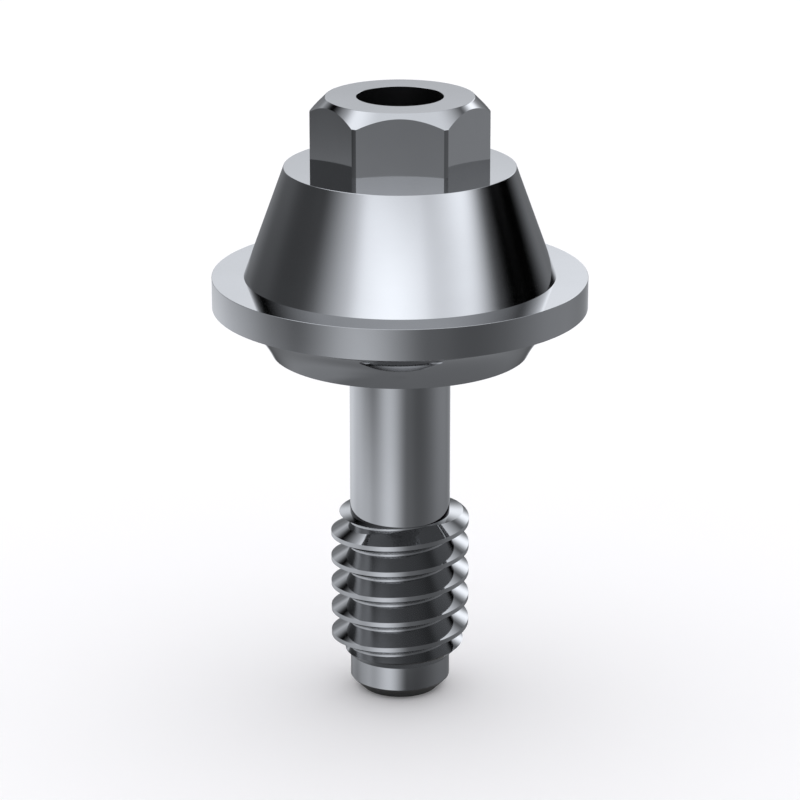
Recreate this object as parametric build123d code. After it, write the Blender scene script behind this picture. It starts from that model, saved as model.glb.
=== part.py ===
from build123d import *
import os
from math import ceil, radians, tan

# Straight dental abutment with its own screw, turned and milled from one titanium bar.
# Millimetres. Z is the axis. The origin is the centre of the seat, the flat ring that
# rests on the implant: the platform, cone and hex stand above it, the screw hangs below.

# Platform: the thin disc round the foot of the cone, and the hollow collar under it.
platform_diameter = 4.80
platform_thickness = 0.40
collar_height = 0.60
collar_hollow_radius = 1.20
rim_land = 0.10
seat_diameter = 3.30

# Cone above the platform, inside the ledge that the framework rests on.
ledge_width = 0.41
cone_height = 1.42
cone_half_angle = 20.0

# Hex for the driver. Its corners are cut back by the round blank that it is milled from.
hex_across_flats = 2.00
hex_blank_diameter = 2.275
hex_height = 0.90
hex_chamfer = 0.195
hex_chamfer_angle = 45.0

# Blind hole for the small screw that holds the framework down, with a drill point.
hole_diameter = 1.10
hole_depth = 2.40
drill_point_angle = 118.0

# Right-handed thread with a vee of sixty degrees. A crest faces -Y at first_crest_depth below the seat.
thread_diameter = 1.80
thread_pitch = 0.35
thread_depth = 0.23
thread_length = 1.965
crest_width = 0.06
root_width = 0.024
thread_shoulder_angle = 10.0
thread_end_angle = 45.0
first_crest_depth = 2.405

# Plain shank above the thread and plain tip below it, both a little slimmer than its root.
shank_relief = 0.02
shank_length = 2.21
tip_length = 0.465
tip_chamfer = 0.155

# The groove cutter stands proud of the crest by this share of the thread depth.
cutter_overrun = 0.125

# Radii and heights that follow from the sizes above.
platform_radius = platform_diameter / 2
cone_base_radius = platform_radius - ledge_width
cone_top_radius = cone_base_radius - cone_height * tan(radians(cone_half_angle))
crest_radius = thread_diameter / 2
root_radius = crest_radius - thread_depth
shank_radius = root_radius - shank_relief
platform_top = collar_height + platform_thickness
cone_top = platform_top + cone_height
hex_top = cone_top + hex_height
thread_top = -shank_length
thread_bottom = thread_top - thread_length
tip_end = thread_bottom - tip_length

HEX_SIDES = 6
FULL_TURN = 360.0
BACK = 90.0


def cone_rise(radial_run, angle):
    """Height that a cone at this angle to the horizontal takes over a change of radius."""
    return radial_run * tan(radians(angle))


def turned(outline):
    """The solid that an outline of (radius, height) sweeps round the axis."""
    return revolve(Plane.XZ * make_face(outline), Axis.Z)


def turned_body():
    """Everything that the lathe makes, from the tip to the top of the cone."""
    thread_step = crest_radius - shank_radius
    seat_edge = (seat_diameter / 2, 0)
    collar_edge = (platform_radius - rim_land, collar_height)
    screw = Polyline(
        (0, tip_end),
        (shank_radius - tip_chamfer, tip_end),
        (shank_radius, tip_end + tip_chamfer),
        (shank_radius, thread_bottom),
        (crest_radius, thread_bottom + cone_rise(thread_step, thread_end_angle)),
        (crest_radius, thread_top - cone_rise(thread_step, thread_shoulder_angle)),
        (shank_radius, thread_top),
        (shank_radius, 0),
        seat_edge,
    )
    hollow = RadiusArc(seat_edge, collar_edge, collar_hollow_radius)
    head = Polyline(
        collar_edge,
        (platform_radius, collar_height),
        (platform_radius, platform_top),
        (cone_base_radius, platform_top),
        (cone_top_radius, cone_top),
        (0, cone_top),
        (0, tip_end),
    )
    return turned([screw, hollow, head])


def driver_hex():
    """The hex milled from its round blank, rooted inside the cone."""
    foot = cone_top - cone_height / 2
    blank_radius = hex_blank_diameter / 2
    blank = Polyline(
        (0, foot),
        (blank_radius, foot),
        (blank_radius, hex_top - cone_rise(hex_chamfer, hex_chamfer_angle)),
        (blank_radius - hex_chamfer, hex_top),
        (0, hex_top),
        close=True,
    )
    flats = RegularPolygon(hex_across_flats / 2, HEX_SIDES, major_radius=False)
    bar = extrude(Plane.XY.offset(foot) * flats, hex_top - foot)
    return bar & turned(blank)


def framework_screw_hole():
    """The blind hole down from the top of the hex, with its drill point."""
    radius = hole_diameter / 2
    floor = hex_top - hole_depth
    point = floor - radius / tan(radians(drill_point_angle / 2))
    return turned(Polyline((0, point), (radius, floor), (radius, hex_top), (0, hex_top), close=True))


def groove_turn(height):
    """One turn of the groove between two crests, from this height at the back."""
    flank_rise = (thread_pitch - crest_width - root_width) / 2
    reach = thread_depth * (1 + cutter_overrun)
    half_mouth = root_width / 2 + flank_rise * (1 + cutter_overrun)
    path = Helix(thread_pitch, thread_pitch, root_radius, center=(0, 0, height)).rotate(Axis.Z, BACK)
    across = Plane(origin=path @ 0, x_dir=(0, 1, 0), z_dir=path % 0)
    section = Polyline(
        (0, -root_width / 2),
        (reach, -half_mouth),
        (reach, half_mouth),
        (0, root_width / 2),
        close=True,
    )
    return sweep(across * make_face(section), path=path, is_frenet=True)


def threaded(body):
    """The body with the groove cut turn by turn, running out past both ends of the thread."""
    first_groove = -first_crest_depth
    turns_below = ceil((first_groove - thread_bottom) / thread_pitch) + 1
    turns_above = ceil((thread_top - first_groove) / thread_pitch) + 1
    for turn in range(-turns_below, turns_above):
        body -= groove_turn(first_groove + turn * thread_pitch)
    return body


def abutment():
    """The whole piece, one solid."""
    piece = threaded(turned_body()) + driver_hex() - framework_screw_hole()
    piece.label = "abutment"
    return piece


os.makedirs("parts", exist_ok=True)
part = abutment()
print("height", round(hex_top - tip_end, 3), "thread turns", round(thread_length / thread_pitch, 2))
print("solids", len(part.solids()), "valid", part.is_valid, "volume", round(part.volume, 4))
export_step(part, "parts/abutment.step")
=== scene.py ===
"""The dental abutment: one turned titanium part standing on its tip in a soft studio."""

from math import atan, ceil, cos, degrees, pi, radians, sin, tan

import bmesh
import bpy
from mathutils import Matrix, Vector


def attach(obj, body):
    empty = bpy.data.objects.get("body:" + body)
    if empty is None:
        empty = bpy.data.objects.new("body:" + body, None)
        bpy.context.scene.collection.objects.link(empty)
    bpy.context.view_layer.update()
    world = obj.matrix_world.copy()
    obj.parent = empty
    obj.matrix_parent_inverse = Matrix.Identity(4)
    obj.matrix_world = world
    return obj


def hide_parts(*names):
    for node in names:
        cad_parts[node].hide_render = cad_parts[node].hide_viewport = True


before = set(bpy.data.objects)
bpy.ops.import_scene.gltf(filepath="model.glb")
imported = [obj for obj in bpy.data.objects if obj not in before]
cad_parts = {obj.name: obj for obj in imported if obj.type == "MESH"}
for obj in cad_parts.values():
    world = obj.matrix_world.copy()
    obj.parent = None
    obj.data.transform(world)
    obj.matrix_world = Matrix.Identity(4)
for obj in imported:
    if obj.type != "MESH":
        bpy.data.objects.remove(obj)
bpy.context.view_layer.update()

MM = 0.001

# Sizes in millimetres from the implant seat, as in the part's source.
PLATFORM_RADIUS = 2.40
PLATFORM_UNDERSIDE = 0.60
PLATFORM_TOP = 1.00
COLLAR_RADIUS = 2.30
COLLAR_HOLLOW_RADIUS = 1.20
SEAT_RADIUS = 1.65
CONE_BASE_RADIUS = 1.99
CONE_TOP = 2.42
CONE_HALF_ANGLE = 20.0
HEX_SIDES = 6
HEX_FLAT = 1.00
HEX_BLANK_RADIUS = 1.1375
HEX_TOP = 3.32
HEX_CHAMFER = 0.195
HOLE_RADIUS = 0.55
HOLE_BOTTOM = 0.92
DRILL_POINT_ANGLE = 118
SHANK_RADIUS = 0.65
CREST_RADIUS = 0.90
ROOT_RADIUS = 0.67
THREAD_TOP = -2.21
THREAD_BOTTOM = -4.175
SHOULDER_RISE = 0.044
LEAD_IN = 0.25
PITCH = 0.35
CREST_WIDTH = 0.06
ROOT_WIDTH = 0.024
FIRST_CREST = -2.405
TIP_END = -4.64
TIP_CHAMFER = 0.155

# The thread inside the hole, M1.4 x 0.3, which the solid leaves out.
HOLE_PITCH = 0.30
HOLE_THREAD_LOW = 1.30
HOLE_THREAD_HIGH = 3.10
HOLE_THREAD_ROOT = 0.70

# The flat that a deburring tool leaves on a turned edge.
EDGE_BREAK = 0.003

# How far the tools start outside the metal and run on past it, and the block that mills one flat.
TOOL_CLEARANCE = 0.02
TOOL_RUN_ON = 0.25
MILL_DEPTH = 0.30
MILL_WIDTH = 1.12

# Flats round the axis and along one turn of thread, and points on the collar's hollow.
TURN_STEPS = 256
THREAD_STEPS = 128
HOLLOW_STEPS = 24

# Faces that meet at less than this many degrees are polished into each other.
POLISH_ANGLE = 20

# Points nearer than this, in metres, are one point.
WELD = 1e-8

# Where the camera stands, in millimetres from the implant seat, and how it looks down.
CAMERA_BACK = 40.22
CAMERA_UP = 12.677
CAMERA_TILT = 18.385
CAMERA_LENS = 147.74


# Shaping the metal


def sweep_round(bm, outline, steps):
    """Turns an outline of (radius, height) about the upright axis, on which its two ends lie."""
    points = [bm.verts.new((r * MM, 0.0, z * MM)) for r, z in outline]
    edges = [bm.edges.new(pair) for pair in zip(points, points[1:])]
    bmesh.ops.spin(
        bm,
        geom=points + edges,
        cent=(0, 0, 0),
        axis=(0, 0, 1),
        angle=2 * pi,
        steps=steps,
        use_merge=True,
    )
    bmesh.ops.remove_doubles(bm, verts=bm.verts[:], dist=WELD)
    bmesh.ops.recalc_face_normals(bm, faces=bm.faces[:])


def hollow_arc(start, end, radius, steps):
    """Points of a shallow inward arc from start to end, without its ends."""
    first, last = Vector(start), Vector(end)
    chord = last - first
    reach = (radius**2 - (chord.length / 2) ** 2) ** 0.5
    centre = (first + last) / 2 + Vector((chord.y, -chord.x)).normalized() * reach
    spoke = first - centre
    turn = -spoke.angle_signed(last - centre)
    points = []
    for k in range(1, steps):
        a = turn * k / steps
        across = spoke.x * cos(a) - spoke.y * sin(a)
        up = spoke.x * sin(a) + spoke.y * cos(a)
        points.append((centre.x + across, centre.y + up))
    return points


def broken(outline, corners):
    """The outline with each listed corner eased by a tiny flat, as a deburring tool leaves it."""
    eased = []
    for k, point in enumerate(outline):
        here = Vector(point)
        if point in corners:
            for beside in (outline[k - 1], outline[k + 1]):
                eased.append(tuple(here + (Vector(beside) - here).normalized() * EDGE_BREAK))
        else:
            eased.append(point)
    return eased


def as_object(bm, name):
    """The finished shape as an object in the scene."""
    mesh = bpy.data.meshes.new(name)
    bm.to_mesh(mesh)
    bm.free()
    made = bpy.data.objects.new(name, mesh)
    bpy.context.scene.collection.objects.link(made)
    return made


def turned_blank():
    """Screw, collar, platform, cone and round hex blank, with the hole bored in them."""
    cone_top_radius = CONE_BASE_RADIUS - (CONE_TOP - PLATFORM_TOP) * tan(radians(CONE_HALF_ANGLE))
    drill_point = HOLE_BOTTOM - HOLE_RADIUS / tan(radians(DRILL_POINT_ANGLE / 2))
    tip_face = (SHANK_RADIUS - TIP_CHAMFER, TIP_END)
    tip_side = (SHANK_RADIUS, TIP_END + TIP_CHAMFER)
    seat, collar = (SEAT_RADIUS, 0.0), (COLLAR_RADIUS, PLATFORM_UNDERSIDE)
    rim_low, rim_high = (PLATFORM_RADIUS, PLATFORM_UNDERSIDE), (PLATFORM_RADIUS, PLATFORM_TOP)
    cone_rim = (cone_top_radius, CONE_TOP)
    hex_side = (HEX_BLANK_RADIUS, HEX_TOP - HEX_CHAMFER)
    hex_rim = (HEX_BLANK_RADIUS - HEX_CHAMFER, HEX_TOP)
    hole_rim = (HOLE_RADIUS, HEX_TOP)
    screw = [
        (0.0, TIP_END),
        tip_face,
        tip_side,
        (SHANK_RADIUS, THREAD_BOTTOM),
        (CREST_RADIUS, THREAD_BOTTOM + LEAD_IN),
        (CREST_RADIUS, THREAD_TOP - SHOULDER_RISE),
        (SHANK_RADIUS, THREAD_TOP),
        (SHANK_RADIUS, 0.0),
        seat,
    ]
    head = [
        collar,
        rim_low,
        rim_high,
        (CONE_BASE_RADIUS, PLATFORM_TOP),
        cone_rim,
        (HEX_BLANK_RADIUS, CONE_TOP),
        hex_side,
        hex_rim,
        hole_rim,
        (HOLE_RADIUS, HOLE_BOTTOM),
        (0.0, drill_point),
    ]
    outline = screw + hollow_arc(seat, collar, COLLAR_HOLLOW_RADIUS, HOLLOW_STEPS) + head
    deburred = [tip_face, tip_side, seat, rim_low, rim_high, cone_rim, hex_side, hex_rim, hole_rim]
    bm = bmesh.new()
    sweep_round(bm, broken(outline, deburred), TURN_STEPS)
    return as_object(bm, "abutment_turned")


def thread_groove(outer, root, pitch, low, turns, name):
    """The solid that a thread tool clears: a vee with a narrow flat root, wound up from low.

    Inside a hole, root is wider than outer.
    """
    half_angle = atan((PITCH - CREST_WIDTH - ROOT_WIDTH) / 2 / (CREST_RADIUS - ROOT_RADIUS))
    nose = ROOT_WIDTH / 2
    mouth = nose + abs(outer - root) * tan(half_angle)
    vee = [(outer, -mouth), (outer, mouth), (root, nose), (root, -nose)]
    bm = bmesh.new()
    section = bm.faces.new([bm.verts.new((0.0, -r * MM, (low + z) * MM)) for r, z in vee])
    bmesh.ops.spin(
        bm,
        geom=[section],
        cent=(0, 0, 0),
        axis=(0, 0, 1),
        dvec=(0, 0, pitch * MM / THREAD_STEPS),
        angle=2 * pi * turns,
        steps=THREAD_STEPS * turns,
        use_merge=False,
    )
    bmesh.ops.remove_doubles(bm, verts=bm.verts[:], dist=WELD)
    bmesh.ops.recalc_face_normals(bm, faces=bm.faces[:])
    return as_object(bm, name)


def shank_groove():
    """The groove between the screw's crests, running out past both ends of the thread."""
    groove = FIRST_CREST - PITCH / 2
    below = ceil((groove - THREAD_BOTTOM + TOOL_RUN_ON) / PITCH)
    above = ceil((THREAD_TOP + TOOL_RUN_ON - groove) / PITCH)
    low = groove - below * PITCH
    outer = CREST_RADIUS + TOOL_CLEARANCE
    return thread_groove(outer, ROOT_RADIUS, PITCH, low, below + above, "shank_groove")


def hole_groove():
    """The groove of the tapped hole."""
    outer = HOLE_RADIUS - TOOL_CLEARANCE
    turns = round((HOLE_THREAD_HIGH - HOLE_THREAD_LOW) / HOLE_PITCH)
    return thread_groove(outer, HOLE_THREAD_ROOT, HOLE_PITCH, HOLE_THREAD_LOW, turns, "hole_groove")


def flat_cutters():
    """Six blocks that mill the driver flats down to the cone's top."""
    height = HEX_TOP - CONE_TOP + TOOL_RUN_ON
    out, up = HEX_FLAT + MILL_DEPTH / 2, CONE_TOP + height / 2
    bm = bmesh.new()
    for k in range(HEX_SIDES):
        place = (
            Matrix.Rotation(2 * pi * k / HEX_SIDES - pi / 2, 4, "Z")
            @ Matrix.Translation((out * MM, 0, up * MM))
            @ Matrix.Diagonal((MILL_DEPTH * MM, MILL_WIDTH * MM, height * MM, 1))
        )
        bmesh.ops.create_cube(bm, size=1.0, matrix=place)
    return as_object(bm, "flat_cutters")


def cut_away(piece, cutter):
    """Takes the cutter's shape out of the piece, and then the cutter out of the scene."""
    cut = piece.modifiers.new(cutter.name, "BOOLEAN")
    cut.operation = "DIFFERENCE"
    cut.solver = "EXACT"
    cut.object = cutter
    bpy.context.view_layer.update()
    depsgraph = bpy.context.evaluated_depsgraph_get()
    shaped = bpy.data.meshes.new_from_object(piece.evaluated_get(depsgraph))
    piece.modifiers.clear()
    piece.data = shaped
    bpy.data.objects.remove(cutter)


def polish_edges(piece, angle):
    """Smooth faces that meet gently, with a crisp line where they meet at more than the angle."""
    bm = bmesh.new()
    bm.from_mesh(piece.data)
    bmesh.ops.remove_doubles(bm, verts=bm.verts[:], dist=2 * WELD)
    bmesh.ops.dissolve_degenerate(bm, edges=bm.edges[:], dist=WELD)
    for face in bm.faces:
        face.smooth = True
    for edge in bm.edges:
        edge.smooth = edge.is_manifold and edge.calc_face_angle() < angle
    bm.to_mesh(piece.data)
    bm.free()
    shade = piece.modifiers.new("broad_faces_lead", "WEIGHTED_NORMAL")
    shade.mode = "FACE_AREA"
    shade.keep_sharp = True


# Shader trees and the arithmetic on them


class Shader:
    """A node tree, and the one way in which nodes are added to it."""

    def __init__(self, tree):
        self.tree = tree
        tree.nodes.clear()

    def node(self, kind, settings=None, sockets=None):
        made = self.tree.nodes.new(kind)
        for name, value in (settings or {}).items():
            setattr(made, name, value)
        for name, value in (sockets or {}).items():
            if isinstance(value, Wire):
                self.tree.links.new(value.socket, made.inputs[name])
            else:
                made.inputs[name].default_value = value
        return made

    def wire(self, made, output=0):
        return Wire(self, made.outputs[output])

    def mix(self, factor, none, full):
        """The colour none where the factor is 0 and the colour full where it is 1."""
        # The node keeps its colours in inputs 6 and 7 and gives their mix at output 2.
        sockets = {"Factor": factor, 6: none, 7: full}
        made = self.node("ShaderNodeMix", {"data_type": "RGBA"}, sockets)
        return self.wire(made, 2)


class Wire:
    """A shader value that takes ordinary arithmetic."""

    def __init__(self, shader, socket):
        self.shader, self.socket = shader, socket

    def maths(self, operation, *values):
        sockets = dict(enumerate((self,) + values))
        made = self.shader.node("ShaderNodeMath", {"operation": operation}, sockets)
        return self.shader.wire(made)

    def __add__(self, other):
        return self.maths("ADD", other)

    def __radd__(self, other):
        return self.maths("ADD", other)

    def __sub__(self, other):
        return self.maths("SUBTRACT", other)

    def __rsub__(self, other):
        return self.maths("MULTIPLY", -1.0) + other

    def __mul__(self, other):
        return self.maths("MULTIPLY", other)

    def __rmul__(self, other):
        return self.maths("MULTIPLY", other)

    def __pow__(self, other):
        return self.maths("POWER", other)

    def __abs__(self):
        return self.maths("ABSOLUTE")

    def ease(self, low, high):
        """0 up to low, 1 from high, smooth between. It falls where low is the greater."""
        mapped = self.shader.node(
            "ShaderNodeMapRange",
            {"interpolation_type": "SMOOTHSTEP", "clamp": True},
            {"Value": self, "From Min": low, "From Max": high, "To Min": 0.0, "To Max": 1.0},
        )
        return self.shader.wire(mapped)


def new_material(name):
    material = bpy.data.materials.new(name)
    material.use_nodes = True
    return material, Shader(material.node_tree)


def on_object(shader):
    """The surface point on the object, in metres."""
    return shader.wire(shader.node("ShaderNodeTexCoord"), "Object")


def round_the_axis(shader):
    """x, y and z of the surface point, and its distance from the axis."""
    parts = shader.node("ShaderNodeSeparateXYZ", None, {0: on_object(shader)})
    x, y, z = (shader.wire(parts, k) for k in range(3))
    return x, y, z, (x * x + y * y) ** 0.5


def noise(shader, place, scale, detail):
    sockets = {"Vector": place, "Scale": scale, "Detail": detail}
    return shader.wire(shader.node("ShaderNodeTexNoise", None, sockets))


# The metal

TITANIUM_DEEP = (0.369, 0.373, 0.379, 1)
TITANIUM_BRIGHT = (0.388, 0.392, 0.399, 1)
# Inside the tapped hole: painted shade, a dark grey that stands in for the shade deep in the hole.
HOLE_PAINTED_SHADE = (0.060, 0.060, 0.062, 1)

# Roughness of the polish, and what the tool rings, the cloudiness and the tapped hole add to it.
POLISHED = 0.04
RINGED = 0.02
CLOUDED = 0.03
TAPPED = 0.25

# Tool rings and clouds to the metre.
RINGS = 11000.0
CLOUDS = 900.0

# The height over which the hole's painted shade and duller finish fade out, in millimetres.
HOLE_FADE = 0.015


def tapped_hole(z, radius):
    """1 inside the hole and 0 on every outer face."""
    floor, mouth = HOLE_BOTTOM - HOLE_RADIUS, HEX_TOP - EDGE_BREAK
    wall = HOLE_THREAD_ROOT + HOLE_FADE
    above_floor = z.ease((floor - HOLE_FADE) * MM, floor * MM)
    below_mouth = z.ease(mouth * MM, (mouth - HOLE_FADE) * MM)
    within_wall = radius.ease((wall + HOLE_FADE) * MM, wall * MM)
    return above_floor * below_mouth * within_wall


def polished_titanium():
    """Turned and polished titanium with fine tool rings, faint clouds, a duller tapped hole and
    painted shade inside it.
    """
    material, shader = new_material("polished_titanium")
    x, y, z, radius = round_the_axis(shader)
    along_rings = shader.node("ShaderNodeCombineXYZ", None, {"X": radius, "Y": 0.0, "Z": z})
    rings = noise(shader, shader.wire(along_rings), RINGS, 1.0)
    clouds = noise(shader, on_object(shader), CLOUDS, 4.0)
    hole = tapped_hole(z, radius)
    polished = shader.mix(clouds.ease(0.3, 0.7), TITANIUM_DEEP, TITANIUM_BRIGHT)
    # The base colour turns dark grey inside the hole as painted shade; the roughness there is the
    # tapped finish.
    metal = shader.node(
        "ShaderNodeBsdfPrincipled",
        None,
        {
            "Base Color": shader.mix(hole, polished, HOLE_PAINTED_SHADE),
            "Metallic": 1.0,
            "Roughness": POLISHED + rings * RINGED + clouds * CLOUDED + hole * TAPPED,
        },
    )
    shader.node("ShaderNodeOutputMaterial", None, {"Surface": shader.wire(metal)})
    return material


# The studio

# The floor and the dome, in metres.
FLOOR_RADIUS = 2.0
FLOOR_SIDES = 96
DOME_RADIUS = 3.0
DOME_SIDES = 64

# The paper of the floor, and the fibres to the metre.
PAPER_DEEP = (0.945, 0.940, 0.964, 1)
PAPER_BRIGHT = (0.955, 0.950, 0.974, 1)
PAPER_ROUGHNESS = 0.9
FIBRES = 400.0

# The round under the tip that the metal mirrors, painted dark as shade for the part's contact
# shadow, in millimetres.
SHADE_RADIUS = 0.80
SHADE_SOFTNESS = 0.01
PAPER_PAINTED_SHADE = (0.220, 0.220, 0.220, 1)

# How strongly the room lights the part from the sides, and what is added behind and taken in front.
ROOM_LEVEL = 1.075
ROOM_SLANT = 0.45

# The cool white of the panels.
DOME_TINT = (0.955, 0.985, 1.040, 1)

# What the polished metal mirrors. For each panel: its azimuth, from straight behind the part
# towards +X, and its half width, its lowest and highest elevation, the softness of its sides and
# of its upper and lower edges, all in degrees, and its glow.
PANELS = {
    "ceiling": (0, 360, 45, 100, 1, 15, 1.55),
    "ceiling_left": (-65, 20, 50, 75, 35, 5, 0.95),
    "back_panel": (15, 30, 15, 23, 40, 8, 2.25),
    "back_glow": (-20, 27, -18, 17, 35, 2, 0.25),
    "back_right_strip": (57, 17, 20, 30, 45, 8, 2.60),
    "back_low": (17, 3, 7, 21, 12, 10, 0.80),
    "front_window": (145, 70, 16, 25, 8, 5, 0.42),
    "front_core": (-174, 33, 15, 26, 42, 3, 2.15),
    "right_strip": (114, 14, 17, 35, 28, 3, 1.75),
    "left_haze": (-105, 95, 2, 24, 4, 4, 0.10),
    "left_low": (-45, 45, -22, -16, 50, 3, 1.00),
    "front_left_low": (-154, 14, -34, -16, 30, 7, 1.15),
    "front_left_floor": (-105, 22, -31, -19, 27, 2, 0.65),
    "right_low": (68, 41, -23, 0, 38, 5, 0.42),
    "front_low": (-177, 41, -23, 16, 50, 1, 0.25),
    "under": (0, 360, -100, -27, 1, 16, 0.28),
    "under_left": (-57, 27, -72, -12, 14, 10, 0.15),
}


def lights_the_floor(shader, rays):
    """1 along paths that light the floor, and 0 for what is seen directly or in the metal."""
    return shader.wire(rays, "Diffuse Depth").maths("GREATER_THAN", 0.5)


def pale_paper():
    """Matt paper with faint fibres, of which the metal mirrors only the round under the tip, in
    painted shade.
    """
    material, shader = new_material("pale_paper")
    x, y, z, radius = round_the_axis(shader)
    under_tip = radius.ease(SHADE_RADIUS * MM, (SHADE_RADIUS - SHADE_SOFTNESS) * MM)
    rays = shader.node("ShaderNodeLightPath")
    in_metal = shader.wire(rays, "Is Glossy Ray")
    fibres = noise(shader, on_object(shader), FIBRES, 2.0)
    sheet = shader.mix(fibres, PAPER_DEEP, PAPER_BRIGHT)
    paper = shader.node(
        "ShaderNodeBsdfPrincipled",
        None,
        {
            # Painted shade: where the metal mirrors the round under the tip, the paper is dark
            # grey.
            "Base Color": shader.mix(in_metal * under_tip, sheet, PAPER_PAINTED_SHADE),
            "Roughness": PAPER_ROUGHNESS,
            "Specular IOR Level": 0.0,
        },
    )
    unseen = in_metal * (1 - under_tip) * (1 - lights_the_floor(shader, rays))
    nothing = shader.wire(shader.node("ShaderNodeBsdfTransparent"))
    sockets = {0: unseen, 1: shader.wire(paper), 2: nothing}
    surface = shader.node("ShaderNodeMixShader", None, sockets)
    shader.node("ShaderNodeOutputMaterial", None, {"Surface": shader.wire(surface)})
    return material


def paper_floor():
    """A wide round of paper at the height that the tip stands on."""
    bm = bmesh.new()
    bmesh.ops.create_circle(bm, cap_ends=True, segments=FLOOR_SIDES, radius=FLOOR_RADIUS)
    bmesh.ops.translate(bm, vec=(0, 0, TIP_END * MM), verts=bm.verts[:])
    floor = as_object(bm, "floor")
    floor.data.materials.append(pale_paper())


def panel_glow(shader):
    """The glow of all panels, by the direction in which they stand."""
    x, y, z, radius = round_the_axis(shader)
    azimuth = x.maths("ARCTAN2", y) * degrees(1)
    elevation = z.maths("ARCTAN2", radius) * degrees(1)
    glow = 0.0
    for middle, half, low, high, side_soft, edge_soft, strength in PANELS.values():
        above_low = elevation.ease(low - edge_soft, low + edge_soft)
        below_high = elevation.ease(high + edge_soft, high - edge_soft)
        panel = above_low * below_high
        if half < 180:
            aside = abs((azimuth - middle).maths("WRAP", 180.0, -180.0))
            panel = panel * aside.ease(half + side_soft, max(half - side_soft, 0.0))
        glow = panel * strength + glow
    return glow


def studio_dome():
    """Soft panels and dark gaps that only the metal mirrors, and that don't light the floor."""
    bm = bmesh.new()
    bmesh.ops.create_uvsphere(
        bm, u_segments=DOME_SIDES, v_segments=DOME_SIDES // 2, radius=DOME_RADIUS
    )
    bmesh.ops.reverse_faces(bm, faces=bm.faces[:])
    dome = as_object(bm, "studio_dome")
    material, shader = new_material("studio_panels")
    rays = shader.node("ShaderNodeLightPath")
    strength = panel_glow(shader) * (1 - lights_the_floor(shader, rays))
    light = shader.node("ShaderNodeEmission", None, {"Color": DOME_TINT, "Strength": strength})
    shader.node("ShaderNodeOutputMaterial", None, {"Surface": shader.wire(light)})
    dome.data.materials.append(material)
    for ray in ("camera", "diffuse", "transmission", "volume_scatter", "shadow"):
        setattr(dome, "visible_" + ray, False)


def room_light():
    """White all round to look at, and a soft light that is a little stronger from behind."""
    world = bpy.data.worlds.new("room")
    world.use_nodes = True
    shader = Shader(world.node_tree)
    direction = shader.wire(shader.node("ShaderNodeTexCoord"))
    behind = shader.wire(shader.node("ShaderNodeSeparateXYZ", None, {0: direction}), "Y")
    rays = shader.node("ShaderNodeLightPath")
    looked_at = (
        shader.wire(rays, "Is Camera Ray")
        .maths("MAXIMUM", shader.wire(rays, "Is Glossy Ray"))
        .maths("MAXIMUM", shader.wire(rays, "Is Transmission Ray"))
    )
    strength = looked_at + (1 - looked_at) * (ROOM_LEVEL + behind * ROOM_SLANT)
    sky = shader.node("ShaderNodeBackground", None, {"Color": (1, 1, 1, 1), "Strength": strength})
    shader.node("ShaderNodeOutputWorld", None, {"Surface": shader.wire(sky)})
    bpy.context.scene.world = world


def photo_camera():
    camera = bpy.data.objects.new("camera", bpy.data.cameras.new("camera"))
    bpy.context.scene.collection.objects.link(camera)
    camera.location = (0.0, -CAMERA_BACK * MM, CAMERA_UP * MM)
    camera.rotation_euler = (radians(90 - CAMERA_TILT), 0.0, 0.0)
    camera.data.lens = CAMERA_LENS
    camera.data.sensor_width = 36.0
    camera.data.clip_start = 0.001
    camera.data.clip_end = 20.0
    bpy.context.scene.camera = camera


abutment = turned_blank()
cut_away(abutment, flat_cutters())
cut_away(abutment, shank_groove())
cut_away(abutment, hole_groove())
polish_edges(abutment, radians(POLISH_ANGLE))
abutment.data.materials.clear()
abutment.data.materials.append(polished_titanium())
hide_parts("abutment")
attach(abutment, "root")

paper_floor()
studio_dome()
room_light()
photo_camera()
bpy.context.scene.view_settings.view_transform = "Standard"
